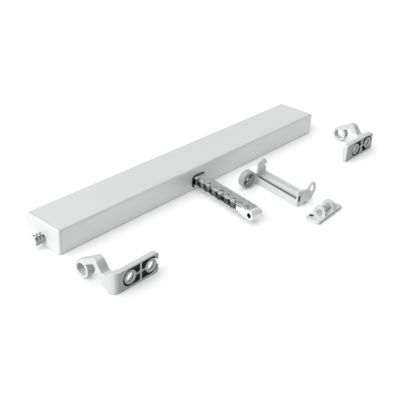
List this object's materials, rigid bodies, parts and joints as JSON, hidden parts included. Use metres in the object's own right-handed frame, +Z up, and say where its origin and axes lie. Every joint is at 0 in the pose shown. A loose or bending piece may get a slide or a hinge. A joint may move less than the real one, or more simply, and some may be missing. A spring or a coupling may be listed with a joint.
{
  "type": "chain window actuator",
  "caption": "Slim motor housing with a push chain from its front face, end pivot stubs, two pivot brackets, a sash bracket and a foot bracket lying beside it.",
  "frame": {"origin": "centre of the housing base", "axes": "+X along the housing towards its plain end, +Y towards the back of the housing, +Z up"},
  "size_m": [0.412, 0.1773, 0.0255],
  "materials": {
    "profile_aluminium": "fine satin anodised",
    "cap_plastic": "smooth moulded",
    "bezel_plastic": "smooth moulded",
    "frame_steel": "zinc plated",
    "bush_brass": "machined",
    "motor_steel": "plated",
    "black_plastic": "moulded",
    "board_green": "solder mask",
    "terminal_green": "moulded",
    "relay_blue": "moulded",
    "gear_steel": "machined",
    "chain_steel": "nickel plated",
    "chain_pin_steel": "nickel plated",
    "roller_steel": "polished",
    "chain_inner_steel": "nickel plated",
    "block_zinc": "nickel plated",
    "cast_zinc": "powder coated die casting",
    "sash_zinc": "coated die casting",
    "fitting_pin_steel": "turned"
  },
  "bodies": {
    "actuator": {"housing_profile": "profile_aluminium", "left_end_cap": "cap_plastic", "right_end_cap": "cap_plastic", "cable_stub": "cap_plastic", "right_pivot_stub": "cap_plastic", "chain_exit_bezel": "bezel_plastic", "drive_frame_lower": "frame_steel", "drive_frame_upper": "frame_steel", "frame_pillars": "frame_steel", "frame_screws": "frame_steel", "sprocket_bushes": "bush_brass", "idler_axle": "frame_steel", "motor_can": "motor_steel", "motor_gearhead": "motor_steel", "motor_end_bell": "black_plastic", "motor_bracket": "frame_steel", "worm_bearing": "bush_brass", "circuit_board": "board_green", "board_capacitors": "black_plastic", "board_relays": "relay_blue", "terminal_block": "terminal_green", "limit_switches": "black_plastic", "chain_magazine": "bezel_plastic", "stored_chain_outer_plates": "chain_steel", "stored_chain_inner_plates": "chain_inner_steel", "stored_chain_rollers": "roller_steel", "stored_chain_pins": "chain_pin_steel"},
    "sprocket_body": {"sprocket": "gear_steel", "sprocket_shaft": "frame_steel", "output_gear": "gear_steel"},
    "idler_body": {"idler_gear": "bush_brass"},
    "intermediate_body": {"pinion": "gear_steel", "intermediate_shaft": "frame_steel", "worm_wheel": "bush_brass"},
    "worm_body": {"worm": "gear_steel"},
    "chain_run": {"chain_run_inner_plates": "chain_inner_steel", "chain_run_outer_plates": "chain_steel", "chain_run_rollers": "roller_steel", "chain_run_pins": "chain_pin_steel"},
    "chain_link_1": {"chain_link_1_plates": "chain_steel", "chain_link_1_pins": "chain_pin_steel"},
    "chain_link_2": {"chain_link_2_plates": "chain_inner_steel", "chain_link_2_roller": "roller_steel"},
    "chain_link_3": {"chain_link_3_plates": "chain_steel", "chain_link_3_pins": "chain_pin_steel", "chain_end_block": "block_zinc"},
    "left_bracket_body": {"left_bracket": "cast_zinc"},
    "right_bracket_body": {"right_bracket": "cast_zinc"},
    "sash_bracket_body": {"sash_bracket": "sash_zinc", "sash_catch_pin": "fitting_pin_steel"},
    "sash_knob_body": {"sash_catch_knob": "sash_zinc"},
    "foot_bracket_body": {"foot_bracket": "cast_zinc"},
    "foot_pin_body": {"foot_pin": "fitting_pin_steel"}
  },
  "joints": [
    {"name": "chain_stroke", "type": "slide", "parent": "actuator", "child": "chain_run", "axis": [-0.1736, -0.9848, 0], "range_m": [0, 0.01905], "deforming": ["stored_chain_outer_plates", "stored_chain_inner_plates", "stored_chain_rollers", "stored_chain_pins"]},
    {"name": "sprocket_spin", "type": "hinge", "parent": "actuator", "child": "sprocket_body", "pos_m": [-0.0264, -0.0032, 0.01], "axis": [0, 0, 1], "range_deg": [-80.5, 0.5]},
    {"name": "idler_spin", "type": "hinge", "parent": "actuator", "child": "idler_body", "pos_m": [-0.0004, -0.0032, 0.018], "axis": [0, 0, 1], "range_deg": [-0.5, 128.5]},
    {"name": "intermediate_spin", "type": "hinge", "parent": "actuator", "child": "intermediate_body", "pos_m": [0.0156, -0.0032, 0.012], "axis": [0, 0, 1], "range_deg": [-213.83, 0.5]},
    {"name": "worm_spin", "type": "hinge", "parent": "actuator", "child": "worm_body", "pos_m": [0.0156, 0.01, 0.0125], "axis": [1, 0, 0], "range_deg": [-5120.5, 0.5]},
    {"name": "link_1_hinge", "type": "hinge", "parent": "chain_run", "child": "chain_link_1", "pos_m": [-0.02426, -0.07128, 0.01], "axis": [0, 0, -1], "range_deg": [0, 38]},
    {"name": "link_2_hinge", "type": "hinge", "parent": "chain_link_1", "child": "chain_link_2", "pos_m": [-0.02592, -0.08066, 0.01], "axis": [0, 0, -1], "range_deg": [0, 38]},
    {"name": "link_3_hinge", "type": "hinge", "parent": "chain_link_2", "child": "chain_link_3", "pos_m": [-0.02757, -0.09004, 0.01], "axis": [0, 0, -1], "range_deg": [0, 38]},
    {"name": "left_bracket_lift", "type": "slide", "parent": "actuator", "child": "left_bracket_body", "axis": [0, 0, 1], "range_m": [0, 0.05]},
    {"name": "right_bracket_lift", "type": "slide", "parent": "actuator", "child": "right_bracket_body", "axis": [0, 0, 1], "range_m": [0, 0.05]},
    {"name": "sash_bracket_lift", "type": "slide", "parent": "actuator", "child": "sash_bracket_body", "axis": [0, 0, 1], "range_m": [0, 0.05]},
    {"name": "sash_knob_turn", "type": "hinge", "parent": "sash_bracket_body", "child": "sash_knob_body", "pos_m": [0.02481, -0.05631, 0.0095], "axis": [-0.1857, -0.9826, 0], "range_deg": [-90, 90]},
    {"name": "foot_bracket_lift", "type": "slide", "parent": "actuator", "child": "foot_bracket_body", "axis": [0, 0, 1], "range_m": [0, 0.05]},
    {"name": "foot_pin_slide", "type": "slide", "parent": "foot_bracket_body", "child": "foot_pin_body", "axis": [-0.9986, -0.0523, 0], "range_m": [0, 0.026]}
  ],
  "couplings": [
    {"joint": "sprocket_spin", "follows": "chain_stroke", "rad_per_m": -73.295},
    {"joint": "idler_spin", "follows": "chain_stroke", "rad_per_m": 117.27},
    {"joint": "intermediate_spin", "follows": "chain_stroke", "rad_per_m": -195.45},
    {"joint": "worm_spin", "follows": "chain_stroke", "rad_per_m": -4690.9}
  ]
}
